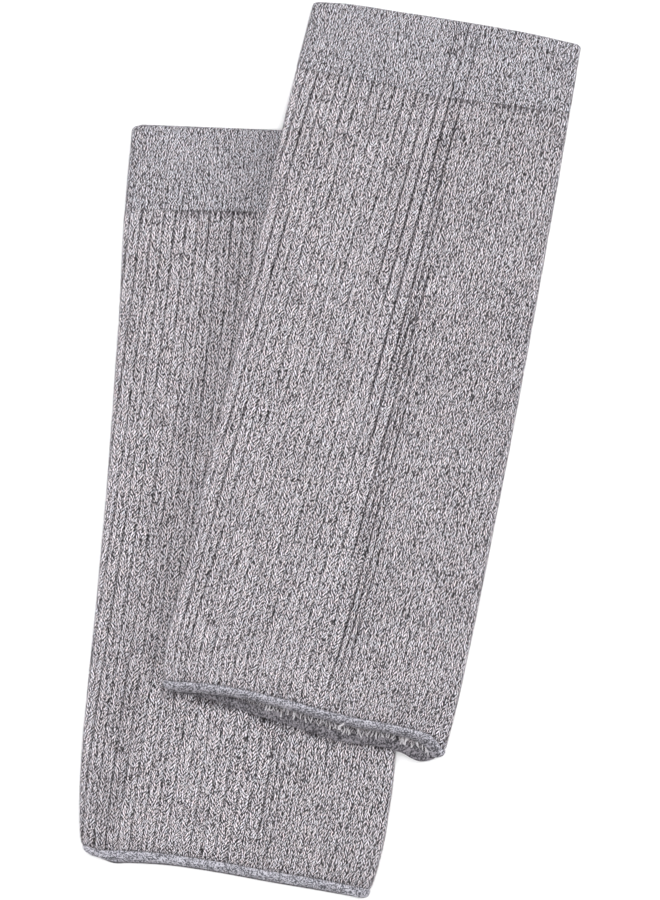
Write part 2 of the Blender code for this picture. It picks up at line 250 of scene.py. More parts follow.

# How much the painted highlight smooths a fold's rim, the paler value that it nears, and how much paler
# ribs are
RIM_SMOOTH = 0.5
RIM_HIGHLIGHT_LEVEL = 0.5
RIBBED_LEVEL = 0.1

# The thin broken lines of painted shade in the furrows between ribs: their half width in pairs of wales,
# how many breaks there are to a course, the noise level below which a line is gone, and how sharp a break
# is
LINE_WIDTH = 0.09
LINE_BREAKS = 0.2
LINE_GAPS = 0.36
BREAK_SHARPNESS = 4.0

# The colours of the yarn's dark ply, of both plies blurred together, and of its light ply
DARK_PLY = (0.019, 0.0165, 0.019)
MIXED_PLY = (0.135, 0.124, 0.136)
Marl = namedtuple("Marl", "name contrast level light_ply")
LEG_MARL = Marl(name="marl_rib_knit", contrast=3.0, level=0.13, light_ply=(0.85, 0.814, 0.858))
WELT_MARL = Marl(name="marl_welt_knit", contrast=3.8, level=-0.01, light_ply=(0.85, 0.834, 0.894))

# Every stitch is a little warmer or cooler. Shaded places are multiplied by a dark colour
TINTS_ACROSS, TINTS_DOWN = 4.0, 1.7
WARM_TINT = (1.0, 0.945, 0.93, 1.0)
COOL_TINT = (0.93, 0.965, 1.0, 1.0)
SHADE_SHARE = 0.9
SHADE_COLOUR = (0.14, 0.125, 0.14, 1)

# The hem's and the loops' thread: its flecks and clouds over the object, and its grain in the knit's map
Thread = namedtuple("Thread", "name dark middle light")
HEM_THREAD = Thread("hem_thread", (0.075, 0.075, 0.088), (0.245, 0.24, 0.272), (0.55, 0.54, 0.60))
LOOP_THREAD = Thread("loop_thread", (0.22, 0.21, 0.225), (0.42, 0.40, 0.43), (0.66, 0.64, 0.67))
FLECK_SCALE, FLECK_CONTRAST = 1700.0, 4.6
THREAD_CLOUD_SCALE = 220.0
THREAD_ACROSS, THREAD_DOWN = 6.0, 2.2
THREAD_GRAIN = 1.6
THREAD_SHADE_COLOUR = (0.42, 0.40, 0.40, 1)

# How yarn and the floor take the light
YARN_SURFACE = {
    "Roughness": 0.9,
    "Specular IOR Level": 0.25,
    "Sheen Weight": 0.25,
    "Sheen Roughness": 0.5,
}
FLOOR_SURFACE = {
    "Base Color": (0.93, 0.93, 0.935, 1),
    "Roughness": 0.9,
    "Specular IOR Level": 0.1,
}

# The floor, in metres
FLOOR_SIZE = 60.0
FLOOR_DROP = 0.0002

# The studio light: softboxes aimed at the middle of the pair, in metres and watts, and a pale surround
Softbox = namedtuple("Softbox", "name place width height power")
SOFTBOXES = (
    Softbox(name="overhead", place=(0.0, 0.1, 1.8), width=1.6, height=1.6, power=26.0),
    Softbox(name="left_box", place=(-1.5, 0.2, 1.0), width=0.9, height=1.4, power=9.0),
    Softbox(name="right_box", place=(1.6, 0.5, 0.9), width=0.8, height=1.2, power=16.0),
)
SURROUND = 0.5

# One side of a piece's wall: a grid of points, and at each its wale and course, how far it is ribbed, how
# dark its painted shade is, and how near it lies to a fold's rim with its painted highlight
Side = namedtuple("Side", "points wale course ribbed dark rim")

# A section across a warmer: how far along it is, how far it is moved to the right, how wide it is, and
# how far it leans. An edge point: its share of the width, and how far down past straight it lies
Section = namedtuple("Section", "along shift width lean")
EdgePoint = namedtuple("EdgePoint", "share past")

# The radii of the outline's corners
Corners = namedtuple("Corners", "top foot_left foot_right")

# The wales lean more than the folds, so they drift to the left as they run down
Drift = namedtuple("Drift", "along left")

# A furrow is the sunk line between two ribs: the wale it follows, where along the warmer it starts and
# ends, how deep it is, and how wide
Furrow = namedtuple("Furrow", "wale start end depth width")

# A swell is a soft trough (below nought) or ridge: its share of the width at its start and its end
Swell = namedtuple("Swell", "start end share_start share_end rise width")

# A warmer: where its top is and which way it runs, its outline, how it lies, its knit, the share of its
# width from which the painted shade at its seam darkens, how much painted shade the lower part of its
# hem's roll takes, and the seed of its random draws
Warmer = namedtuple(
    "Warmer",
    "name top_x top_y heading welt sections top_edge seam front_foot back_foot mouth_lift corners"
    " draped first_wale drift rib_edge furrows swells seam_from hem_shade seed",
)


def table(kind, *rows):
    """A table whose rows are all of one kind."""
    return tuple(kind(*row) for row in rows)


UPPER = Warmer(
    name="upper",
    top_x=55.2,
    top_y=201.8,
    heading=11.45,
    welt=32.6,
    sections=table(
        Section,
        (0.0, 0.3, 128.2, -2.3),
        (32.6, 0.0, 131.1, -1.9),
        (73.0, 0.3, 133.0, -1.2),
        (168.0, 0.6, 136.4, -0.2),
        (263.0, -0.2, 139.3, 0.8),
        (312.0, -1.4, 140.5, 1.2),
        (336.9, -0.8, 136.6, 1.6),
    ),
    top_edge=table(
        EdgePoint,
        (0.0, -0.3), (0.12, -1.6), (0.3, -1.7), (0.5, -1.9), (0.8, -1.5), (1.0, 0.0),
    ),
    seam=table(EdgePoint, (0.0, 0.0), (0.25, 0.2), (0.5, 2.0), (0.75, 0.8), (1.0, 0.0)),
    front_foot=table(
        EdgePoint,
        (0.0, -0.3), (0.12, -2.8), (0.24, -4.4), (0.36, -4.5), (0.48, -4.2), (0.57, -3.6),
        (0.68, -3.4), (0.79, -4.0), (0.87, -4.1), (0.94, -3.3), (0.975, -0.7), (1.0, 2.4),
    ),
    back_foot=table(
        EdgePoint,
        (0.0, -0.3), (0.15, -0.8), (0.3, 1.4), (0.5, 3.4), (0.65, 4.8), (0.78, 3.1),
        (0.88, 3.4), (0.925, 5.0), (0.955, 5.6), (0.98, 4.7), (1.0, 2.4),
    ),
    mouth_lift=2.4,
    corners=Corners(top=1.2, foot_left=3.0, foot_right=3.8),
    draped=True,
    first_wale=3.5,
    drift=table(
        Drift,
        (0.0, -1.9), (32.6, 0.0), (120.0, 6.0), (220.0, 12.4), (300.0, 16.6), (336.9, 18.0),
    ),
    rib_edge=0.57,
    furrows=table(
        Furrow,
        (0, 34, 92, 0.4, 1.0),
        (2, 34, 168, 0.6, 1.0),
        (4, 34, 84, 0.4, 0.9),
        (4, 92, 226, 0.6, 1.0),
        (6, 190, 310, 0.65, 1.0),
        (8, 250, 332, 0.5, 1.0),
        (10, 34, 75, 0.45, 0.9),
        (16, 34, 70, 0.4, 0.9),
        (18, 60, 118, 0.45, 0.9),
        (20, 36, 100, 0.55, 0.9),
        (22, 34, 128, 0.8, 1.0),
        (24, 33, 140, 1.0, 0.95),
        (24, -4, 40, 0.5, 1.0),
        (26, 33, 188, 1.15, 1.0),
        (26, -4, 40, 0.6, 1.1),
        (28, 36, 215, 0.8, 1.0),
        (28, 2, 40, 0.5, 1.0),
        (29, 70, 180, 0.45, 0.8),
        (30, 112, 262, 0.7, 0.9),
        (31, 140, 250, 0.5, 0.8),
        (32, 160, 318, 0.7, 0.9),
        (33, 205, 322, 0.5, 0.8),
        (34, 235, 330, 0.5, 0.8),
    ),
    swells=table(
        Swell,
        (28, 290, 0.575, 0.57, -0.75, 5.0),
        (160, 246, 0.505, 0.495, 0.3, 3.5),
        (34, 150, 0.47, 0.42, -0.3, 5.0),
        (50, 330, 0.10, 0.07, -0.35, 5.0),
        (90, 280, 0.78, 0.74, -0.3, 9.0),
        (200, 335, 0.30, 0.24, -0.3, 7.0),
    ),
    seam_from=0.35,
    hem_shade=0.75,
    seed=11,
)

UNDER = Warmer(
    name="under",
    top_x=-28.7,
    top_y=151.5,
    heading=3.2,
    welt=39.6,
    sections=table(
        Section,
        (0.0, 0.0, 129.5, -0.9),
        (39.6, 0.0, 132.2, -1.4),
        (84.2, 1.9, 135.7, 0.0),
        (157.7, 3.4, 140.5, 1.8),
        (230.7, 3.2, 144.6, 3.2),
        (287.7, 2.3, 148.2, 4.1),
        (318.7, 1.1, 146.6, 4.6),
        (339.2, -0.1, 142.4, 4.9),
        (353.9, -1.2, 136.2, 4.9),
    ),
    top_edge=table(EdgePoint, (0.0, 0.0), (1.0, 0.0)),
    seam=table(EdgePoint, (0.0, 0.0), (0.5, -0.6), (1.0, 0.0)),
    front_foot=table(
        EdgePoint,
        (0.0, -1.2), (0.06, -0.2), (0.12, -1.3), (0.27, -2.8), (0.45, -2.7), (0.65, -1.7),
        (0.85, -1.0), (1.0, 0.4),
    ),
    back_foot=table(
        EdgePoint,
        (0.0, -1.2), (0.06, 0.5), (0.12, -0.6), (0.27, -2.1), (0.45, -2.0), (0.65, -1.0),
        (0.85, -0.3), (1.0, 0.4),
    ),
    mouth_lift=0.6,
    corners=Corners(top=3.5, foot_left=6.0, foot_right=1.8),
    draped=False,
    first_wale=1.4,
    drift=table(Drift, (0.0, -2.2), (39.6, 0.0), (150.0, 7.6), (260.0, 14.6), (353.9, 19.6)),
    rib_edge=0.60,
    furrows=table(
        Furrow,
        (2, 41, 150, 0.45, 1.0),
        (4, 41, 130, 0.39, 0.9),
        (4, 150, 230, 0.39, 0.9),
        (6, 41, 120, 0.39, 0.9),
        (6, 180, 345, 0.45, 1.0),
        (8, 41, 170, 0.39, 0.9),
        (10, 41, 110, 0.33, 0.9),
        (10, 240, 346, 0.39, 1.0),
        (12, 41, 150, 0.36, 0.9),
        (16, 41, 160, 0.36, 0.9),
        (18, 41, 120, 0.33, 0.9),
        (18, 262, 344, 0.29, 0.9),
        (24, 250, 344, 0.29, 0.9),
        (34, 280, 346, 0.39, 0.9),
        (35, 285, 344, 0.33, 0.8),
        (36, 290, 346, 0.39, 0.9),
    ),
    swells=table(
        Swell,
        (45, 330, 0.12, 0.10, -0.3, 6.0),
        (270, 345, 0.64, 0.63, -0.5, 5.0),
        (240, 345, 0.36, 0.33, -0.3, 7.0),
    ),
    seam_from=0.02,
    hem_shade=0.25,
    seed=23,
)


def soft_step(value):
    """Rises smoothly from 0 to 1 as the values do."""
    value = np.clip(value, 0.0, 1.0)
    return value * value * (3 - 2 * value)


def between(rows, value, place):
    """Reads a column of a table at places along its first one, on a smooth curve through its rows."""
    keys = np.array([row[0] for row in rows], dtype=float)
    values = np.array([getattr(row, value) for row in rows], dtype=float)
    place = np.clip(place, keys[0], keys[-1])
    before = np.concatenate((keys[:1], keys[:-1]))
    after = np.concatenate((keys[1:], keys[-1:]))
    low = np.concatenate((values[:1], values[:-1]))
    high = np.concatenate((values[1:], values[-1:]))
    slopes = (high - low) / (after - before)
    i = np.clip(np.searchsorted(keys, place, side="right") - 1, 0, len(keys) - 2)
    span = keys[i + 1] - keys[i]
    t = (place - keys[i]) / span
    return (
        values[i] * (1 + 2 * t) * (1 - t) ** 2
        + slopes[i] * span * t * (1 - t) ** 2
        + values[i + 1] * (3 - 2 * t) * t**2
        + slopes[i + 1] * span * t**2 * (t - 1)
    )


def length_of(warmer):
    """How long a warmer is."""
    return warmer.sections[-1].along


def tuck(distance, radius):
    """How far a fold draws in at these distances from an end whose corner has this radius."""
    inside = np.clip(radius - distance, 0.0, radius)
    return radius - np.sqrt(radius**2 - inside**2)


def plan_point(warmer, along, share, sideways, past):
    """X and Y of points: along the length, at a share between the folds, moved sideways and past."""
    width = between(warmer.sections, "width", along)
    shift = between(warmer.sections, "shift", along)
    axis = math.radians(warmer.heading)
    turned = axis + np.radians(between(warmer.sections, "lean", along))
    end = length_of(warmer) - along
    corners = warmer.corners
    left = tuck(along, corners.top) + tuck(end, corners.foot_left)
    right = tuck(along, corners.top) + tuck(end, corners.foot_right)
    start = left + FLAT_THICKNESS / 2
    across = start + share * (width - right - FLAT_THICKNESS / 2 - start) - width / 2 + sideways
    down = along + past
    x = warmer.top_x - down * math.sin(axis) + shift * math.cos(axis) + across * np.cos(turned)
    y = warmer.top_y - down * math.cos(axis) - shift * math.sin(axis) - across * np.sin(turned)
    return x, y


def outline(warmer):
    """The warmer's outline in plan, as corner points in order."""
    along = np.linspace(0, length_of(warmer), OUTLINE_STEPS + 1)
    edge = FLAT_THICKNESS / 2
    left = np.stack(plan_point(warmer, along, 0, -edge, 0), axis=1)
    right = np.stack(plan_point(warmer, along, 1, edge, 0), axis=1)
    return np.concatenate((left, right[::-1]))


def distance_outside(corners, x, y):
    """How far each point lies outside a closed outline, or 0 where it lies inside."""
    nearest = np.full(x.shape, np.inf)
    inside = np.zeros(x.shape, dtype=bool)
    for start, end in zip(corners, np.roll(corners, -1, axis=0)):
        run = end - start
        share = ((x - start[0]) * run[0] + (y - start[1]) * run[1]) / (run**2).sum()
        share = np.clip(share, 0, 1)
        gap = np.hypot(x - start[0] - share * run[0], y - start[1] - share * run[1])
        nearest = np.minimum(nearest, gap)
        if start[1] != end[1]:
            crosses = (start[1] > y) != (end[1] > y)
            beyond = x < start[0] + (y - start[1]) / run[1] * run[0]
            inside ^= crosses & beyond
    return np.where(inside, 0.0, nearest)


def lying_height(x, y):
    """How high the upper warmer's underside lies: on the under warmer, then down to the surface."""
    outside = distance_outside(UNDER_OUTLINE, x, y)
    return LYING_HEIGHT * (1 - soft_step((outside - EDGE_CLEARANCE) / RUN_OUT))


def past_straight(warmer, along, share, front):
    """How far down past a straight section points lie, by the top edge, the seam and the foot."""
    top = soft_step(1 - along / TOP_REACH) * between(warmer.top_edge, "past", share)
    from_seam = np.abs(along - warmer.welt)
    seam = soft_step(1 - from_seam / SEAM_REACH) * between(warmer.seam, "past", share)
    at_front = between(warmer.front_foot, "past", share)
    at_back = between(warmer.back_foot, "past", share)
    foot = soft_step(1 - (length_of(warmer) - along) / FOOT_REACH)
    return top + seam + foot * (front * at_front + (1 - front) * at_back)


def mouth_lift(warmer, along, share):
    """How far the front layer stands up off the back one, near the foot."""
    reach = soft_step(1 - (length_of(warmer) - along) / MOUTH_REACH)
    return warmer.mouth_lift * reach * np.maximum(np.sin(np.pi * share), 0.0) ** MOUTH_FULLNESS


def wall_points(warmer, along, share, angle, reach):
    """Points of a flattened tube's wall, in metres, as an array with x, y and z last."""
    turned = np.radians(angle)
    front = (1 + np.sin(turned)) / 2
    side = np.where(share < 0.5, -1, 1)
    past = past_straight(warmer, along, share, front)
    x, y = plan_point(warmer, along, share, side * np.cos(turned) * reach, past)
    z = FLAT_THICKNESS / 2 + np.sin(turned) * reach + front * mouth_lift(warmer, along, share)
    if warmer.draped:
        z = z + lying_height(x, y)
    return np.stack((x, y, z), axis=-1) * MM


def wale_share(wale):
    """The share of the way round the tube at a wale. The ribbed wales are a little narrower."""
    spread = (WALES - RIBBED_WALES * RIB_PITCH) / (WALES - RIBBED_WALES)
    ribbed = np.clip(wale, 0, RIBBED_WALES)
    return (ribbed * RIB_PITCH + (wale - ribbed) * spread) / WALES


def round_the_tube(warmer, along, wale):
    """Where wales lie: their share between the folds, and their angle round the nearer fold."""
    width = between(warmer.sections, "width", along)
    flat = width - FLAT_THICKNESS
    way_round = 2 * (flat + FOLD)
    left = between(warmer.drift, "left", along)
    place = np.mod(warmer.first_wale - left + wale_share(wale) * way_round, way_round)
    on_back = place - flat - FOLD
    share = np.where(place < flat, place / flat, 1 - on_back / flat)
    share = np.clip(share, 0.0, 1.0)
    right_turn = (place - flat) / FOLD
    left_turn = (way_round - place) / FOLD
    angle = np.where(place <= flat + FOLD, 90 - 180 * np.clip(right_turn, 0, 1), -90.0)
    angle = np.where(left_turn < 1, 90 - 180 * left_turn, angle)
    share = np.where(left_turn < 1, 0.0, share)
    return share, angle


def wave(value):
    """A triangle wave: -0.5 at whole numbers and 0.5 halfway between them."""
    return 0.5 - 2 * np.abs(value - np.floor(value) - 0.5)


def smooth_noise(count, spacing, random):
    """A smooth random line of this many values, roughly from -1 to 1, that wanders over the spacing."""
    knots = random.normal(0, NOISE_SPREAD, int(count / spacing) + 4)
    place = np.arange(count) / spacing
    i = place.astype(int)
    t = place - i
    mix = t * t * (3 - 2 * t)
    return knots[i] * (1 - mix) + knots[i + 1] * mix


def wale_columns():
    """The wales that the mesh's columns follow, all the way round."""
    dense = np.arange(DENSE_FROM, DENSE_TO, DENSE_STEP)
    sparse = np.arange(DENSE_TO, DENSE_FROM + WALES, 1.0)
    return np.concatenate((dense, sparse))


def ribbed_part(warmer, along, wale):
    """1 where a wale belongs to the ribs and 0 where it is plain, changing by pairs of wales."""
    flat = between(warmer.sections, "width", along) - FLAT_THICKNESS
    left = between(warmer.drift, "left", along)
    pair = np.floor(wale / 2) * 2 + 1
    middle = warmer.first_wale - left + wale_share(pair) * 2 * (flat + FOLD)
    return soft_step((warmer.rib_edge * flat - middle) / RIB_EDGE_FADE + 0.5)


def leg_slant(wale, ribbed):
    """How many courses a leg's yarn is moved up at a wale, so that the legs slant and meet."""
    return (1 - ribbed) * PLAIN_SLANT * wave(wale) + ribbed * RIB_SLANT * wave((wale + 1) / 2)


def leg_gaps(wale, course, ribbed):
    """How far the dense side sinks between the stitches' legs, from 0 on them to 1 in the gaps."""
    leg = np.abs(np.sin(2 * np.pi * wale)) ** LEG_SHARPNESS
    wale_round = np.abs(np.sin(np.pi * wale)) ** WALE_SHARPNESS
    rib_round = np.abs(np.sin(np.pi * wale / 2)) ** WALE_SHARPNESS
    ridge = 0.5 + 0.5 * np.cos(2 * np.pi * course)
    plain = (1 - PLAIN_WALE_SHARE) * leg + PLAIN_WALE_SHARE * wale_round
    rib = RIB_WALE_SHARE * wale_round + (1 - RIB_WALE_SHARE) * rib_round
    legs = (plain * (1 - ribbed) + rib * ribbed) * (1 - RIDGE_SHARE + RIDGE_SHARE * ridge)
    return (1 - legs) * ((wale >= DENSE_FROM) & (wale < DENSE_TO))


def furrow_depth(warmer, along, wale, ribbed, random):
    """How deep the furrows sink the front: faint ones between all ribs, and the tables' deeper ones."""
    nearest = np.abs(wale - 2 * np.round(wale / 2)) * WALE_WIDTH
    uneven = 1.0
    for length, shift in FAINT_WAVES:
        uneven = uneven * np.sin(along / length + wale.round() * shift)
    near_seam = 1 + SEAM_FURROWS * np.exp(-np.maximum(along - warmer.welt, 0) / SEAM_FURROW_REACH)
    depth = FAINT_FURROW * ribbed * near_seam * (1 + uneven) * np.exp(-((nearest / FAINT_WIDTH) ** 2))
    for furrow in warmer.furrows:
        ends = soft_step((along - furrow.start) / FURROW_FADE)
        ends = ends * soft_step((furrow.end - along) / (2 * FURROW_FADE))
        wander = smooth_noise(along.shape[0], WANDER_SPACING, random)[:, None]
        across = (wale - furrow.wale) * WALE_WIDTH
        line = np.exp(-((2 * across / furrow.width) ** 2))
        depth = np.maximum(depth, furrow.depth * ends * line * (1 + FURROW_WANDER * wander))
    return depth


def swell_rise(warmer, along, share):
    """The soft troughs and ridges of a front."""
    rise = np.zeros(along.shape)
    for swell in warmer.swells:
        part = (along - swell.start) / (swell.end - swell.start)
        ends = soft_step(part / SWELL_START) * soft_step((1 - part) / SWELL_END)
        middle = swell.share_start + (swell.share_end - swell.share_start) * part
        across = (share - middle) * FRONT_WIDTH / swell.width
        rise = rise + swell.rise * ends * np.exp(-(across**2))
    return rise


def fold_highlight(share):
    """1 at the left fold, where a highlight is painted that makes the cloth paler and smoother, less at
    the right one, and 0 between.
    """
    left = np.exp(-((share * FRONT_WIDTH / RIM_REACH) ** 2))
    right = np.exp(-(((1 - share) * FRONT_WIDTH / RIM_REACH) ** 2))
    return left + RIGHT_RIM * right


def foot_edge(warmer):
    """The outline in plan of the whole upper warmer, with its back layer's foot."""
    share = np.linspace(0.0, 1.0, FOOT_POINTS)
    end = np.full(share.shape, length_of(warmer))
    past = between(warmer.back_foot, "past", share)
    foot = np.stack(plan_point(warmer, end, share, 0.0, past), axis=1)
    top = np.stack(plan_point(warmer, np.zeros(2), np.array([1.0, 0.0]), 0.0, 0.0), axis=1)
    return np.concatenate((foot, top))


def seam_shade(warmer, wale, below, share, random):
    """The dark dashes below the welt's seam, one to a wale and broken here and there."""
    broken = np.clip(BREAK_LEVEL + BREAK_SWING * smooth_noise(wale.shape[1], BREAK_SPACING, random), 0, 1)
    left = SEAM_FAINT + (1 - SEAM_FAINT) * soft_step((share - warmer.seam_from) / SEAM_LEFT_FADE)
    right = SEAM_RIGHT_LOSS * soft_step((share - SEAM_RIGHT) / SEAM_RIGHT_FADE)
    dashes = np.clip(DASH_LEVEL + DASH_SWING * np.cos(2 * np.pi * wale), 0, 1)
    return SEAM_SHADE * (left - right) * dashes * np.exp(-((below / SEAM_SHADE_REACH) ** 2)) * broken


def upper_shade(warmer, points, random):
    """The shade on the under warmer: soft along the upper one's left fold, and thin below its foot."""
    if warmer.draped:
        return 0.0
    x, y = points[..., 0] / MM, points[..., 1] / MM
    top = np.array(plan_point(UPPER, LINE_FROM, 0.0, -FLAT_THICKNESS / 2, 0.0))
    foot = np.array(plan_point(UPPER, LINE_TO, 0.0, -FLAT_THICKNESS / 2, 0.0))
    run = (foot - top) / np.hypot(*(foot - top))
    away = run[1] * (x - top[0]) - run[0] * (y - top[1])
    fade = 1 - soft_step((away - SHADE_START) / SHADE_REACH)
    beside = SIDE_SHADE * soft_step(away / SHADE_START) * fade
    broken = CONTACT_LEVEL + CONTACT_SWING * smooth_noise(points.shape[1], CONTACT_SPACING, random)
    reach = CONTACT_REACH * (1 + soft_step((CONTACT_LEFT - x) / CONTACT_FADE))
    near = np.exp(-((distance_outside(foot_edge(UPPER), x, y) / reach) ** CONTACT_SHARPNESS))
    below = near * (1 - soft_step((away + CONTACT_EDGE) / CONTACT_EDGE_FADE))
    return beside + CONTACT_SHADE * below * np.clip(broken, 0, 1)


def new_piece(name, points, quads, material, uv, attributes):
    """A smooth mesh object with a knit map in stitches and attributes of its points."""
    mesh = bpy.data.meshes.new(name)
    mesh.vertices.add(len(points))
    mesh.vertices.foreach_set("co", points.astype(np.float32).ravel())
    mesh.loops.add(quads.size)
    mesh.loops.foreach_set("vertex_index", quads.astype(np.int32).ravel())
    mesh.polygons.add(len(quads))
    mesh.polygons.foreach_set("loop_start", np.arange(0, quads.size, 4, dtype=np.int32))
    mesh.update(calc_edges=True)
    mesh.validate()
    mesh.shade_smooth()
    layer = mesh.uv_layers.new(name="knit")
    layer.data.foreach_set("uv", uv.astype(np.float32).ravel())
    for key, values in attributes.items():
        attribute = mesh.attributes.new(key, "FLOAT", "POINT")
        attribute.data.foreach_set("value", values.astype(np.float32))
    mesh.materials.append(material)
    piece = bpy.data.objects.new(name, mesh)
    bpy.context.scene.collection.objects.link(piece)
    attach(piece, BODY)
    return piece


def shell(name, outer, inner, material):
    """A closed wall from the outer and the inner side, whose grids of points share their columns."""

    def both(key):
        return np.concatenate((getattr(outer, key).ravel(), getattr(inner, key).ravel()))

    points = both("points").reshape(-1, 3)
    rows, columns = outer.wale.shape
    number = np.arange(points.shape[0]).reshape(-1, columns)
    # A closed ring of rows: down the outside, over the foot's rim, up the inside, over the top's rim
    order = np.concatenate((number[:rows], number[rows:][::-1], number[:1]))
    order = np.concatenate((order, order[:, :1]), axis=1)
    corners = (order[:-1, :-1], order[1:, :-1], order[1:, 1:], order[:-1, 1:])
    quads = np.stack(corners, axis=-1).reshape(-1, 4)
    wale = both("wale")[quads]
    course = both("course")[quads]
    # The last column of faces closes the loop, so its right side is one whole turn further on
    wale[:, 2:] += np.where(wale[:, 2:] < wale[:, :2], WALES, 0)
    uv = np.stack((wale, course), axis=-1).reshape(-1, 2)
    attributes = {key: both(key) for key in ("ribbed", "dark", "rim")}
    return new_piece(name, points, quads, material, uv, attributes)


def inner_side(warmer, start, end, steps, wales, pitch, dark):
    """The smooth inside of a piece, as a grid of points."""
    wale, along = np.meshgrid(wales, np.linspace(start, end, steps))
    share, angle = round_the_tube(warmer, along, wale)
    points = wall_points(warmer, along, share, angle, LAYER_GAP / 2)
    flat = np.zeros(wale.shape)
    return Side(points, wale, along / pitch, flat + 1, flat + dark, flat)


def even_grid(start, end, pitch, wales):
    """Rows of evenly spaced places along a piece, two to a course, and the wales across them."""
    courses = round((end - start) / pitch)
    rows = courses * ROWS_PER_COURSE + 1
    wale, along = np.meshgrid(wales, np.linspace(start, end, rows))
    return wale, along


def slanted(along, slant, pitch, start, end):
    """Moves points along by the legs' slant, less and less towards the piece's ends."""
    fade = soft_step((along - start) / END_FADE) * soft_step((end - along) / END_FADE)
    return along - slant * pitch * fade


def build_body(warmer, material):
    """The leg tube's shell: dense rows of stitches outside and a plain inside."""
    random = np.random.default_rng(warmer.seed)
    start = warmer.welt + SHELL_GAP / 2
    end = length_of(warmer) - HEM_WIDTH - SHELL_GAP / 2
    wales = wale_columns()
    wale, even = even_grid(start, end, COURSE, wales)
    ribbed = ribbed_part(warmer, even, wale)
    slant = leg_slant(wale, ribbed)
    along = slanted(even, slant, COURSE, start, end)
    course = along / COURSE
    share, angle = round_the_tube(warmer, along, wale)
    front = (1 + np.sin(np.radians(angle))) / 2
    gaps = leg_gaps(wale, course + slant, ribbed)
    ends = np.minimum(along - start, end - along)
    rise = RIB_RISE * ribbed * soft_step(ends / RIB_FADE) * front
    furrow = furrow_depth(warmer, along, wale, ribbed, random) * front
    swell = swell_rise(warmer, along, share) * front
    dip = DIP_DEPTH * np.exp(-((ends / DIP_WIDTH) ** 2))
    dip = dip + FOOT_DIP_DEPTH * np.exp(-(((end - along) / FOOT_DIP_WIDTH) ** 2))
    shade = seam_shade(warmer, wale, along - start, share, random)
    shade = shade + FOOT_SHADE * np.exp(-(end - along) / FOOT_SHADE_REACH)
    reach = FLAT_THICKNESS / 2 + rise - LEG_DEPTH * gaps - furrow + swell - dip
    points = wall_points(warmer, along, share, angle, reach)
    shade = shade + upper_shade(warmer, points, random)
    # Painted shade: the furrows by their depth, added to the other painted shade
    dark = np.clip(furrow / FULL_DARK + shade, 0, 1)
    outer = Side(points, wale, course, ribbed, dark, fold_highlight(share))
    inner = inner_side(warmer, start, end, LEG_INSIDE_ROWS, wales, COURSE, LEG_INSIDE_DARK)
    piece = shell(warmer.name + "_leg", outer, inner, material)
    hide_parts(warmer.name + "_body")
    return piece


def build_welt(warmer, material):
    """The plain double welt's shell, with finer courses."""
    random = np.random.default_rng(warmer.seed + 2)
    end = warmer.welt - SHELL_GAP / 2
    wales = wale_columns()
    wale, even = even_grid(0, end, WELT_COURSE, wales)
    slant = PLAIN_SLANT * wave(wale)
    along = slanted(even, slant, WELT_COURSE, 0, end)
    course = along / WELT_COURSE
    share, angle = round_the_tube(warmer, along, wale)
    front = (1 + np.sin(np.radians(angle))) / 2
    furrow = furrow_depth(warmer, along, wale, 0.0, random) * front
    gaps = leg_gaps(wale, course + slant, 0.0)
    dip = DIP_DEPTH * np.exp(-(((end - along) / DIP_WIDTH) ** 2))
    fold = WELT_ROUND * np.exp(-((along / WELT_ROUND) ** 2))
    reach = FLAT_THICKNESS / 2 - WELT_LEG_DEPTH * gaps - furrow - dip - fold
    points = wall_points(warmer, along, share, angle, reach)
    # Painted shade: the furrows by their depth, and the shade from the upper warmer
    dark = np.clip(furrow / FULL_DARK + upper_shade(warmer, points, random), 0, 1)
    outer = Side(points, wale, course, np.zeros(wale.shape), dark, fold_highlight(share))
    inner = inner_side(warmer, 0, end, BAND_INSIDE_ROWS, wales, WELT_COURSE, WELT_INSIDE_DARK)
    piece = shell(warmer.name + "_welt_band", outer, inner, material)
    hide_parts(warmer.name + "_welt")
    return piece


def build_hem(warmer, material):
    """The rolled hem's shell, wrapped all round with fine thread."""
    random = np.random.default_rng(warmer.seed + 1)
    start = length_of(warmer) - HEM_WIDTH + SHELL_GAP / 2
    end = length_of(warmer)
    wales = np.arange(0, WALES, DENSE_STEP)
    wale, along = np.meshgrid(wales, np.linspace(start, end, HEM_ROWS))
    part = (along - start) / (end - start)
    share, angle = round_the_tube(warmer, along, wale)
    front = np.maximum(np.sin(np.radians(angle)), 0.0)
    roll = np.maximum(np.sin(np.pi * part), 0.0) ** HEM_FULLNESS
    thread = 0.5 + 0.5 * np.cos(2 * np.pi * (wale * HEM_WRAPS + part * HEM_TWIST))
    uneven = smooth_noise(len(wales), HEM_UNEVEN_SPACING, random)[None, :]
    reach = FLAT_THICKNESS / 2 - HEM_PINCH * (1 - roll) - HEM_UNDERCUT * part**4
    reach = reach + HEM_BULGE * (roll + HEM_UNEVEN * uneven) * front
    reach = reach - HEM_THREAD_DEPTH * thread * (HEM_THREAD_BACK + (1 - HEM_THREAD_BACK) * front)
    points = wall_points(warmer, along, share, angle, reach)
    # Painted shade on the lower part of the front's roll
    below = warmer.hem_shade * soft_step((part - HEM_SHADE_FROM) / HEM_SHADE_FADE) * front
    blank = np.zeros(wale.shape)
    outer = Side(points, wale, along, blank, below, blank)
    inner = inner_side(warmer, start, end, BAND_INSIDE_ROWS, wales, COURSE, HEM_INSIDE_DARK)
    piece = shell(warmer.name + "_hem_band", outer, inner, material)
    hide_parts(warmer.name + "_hem")
    return piece


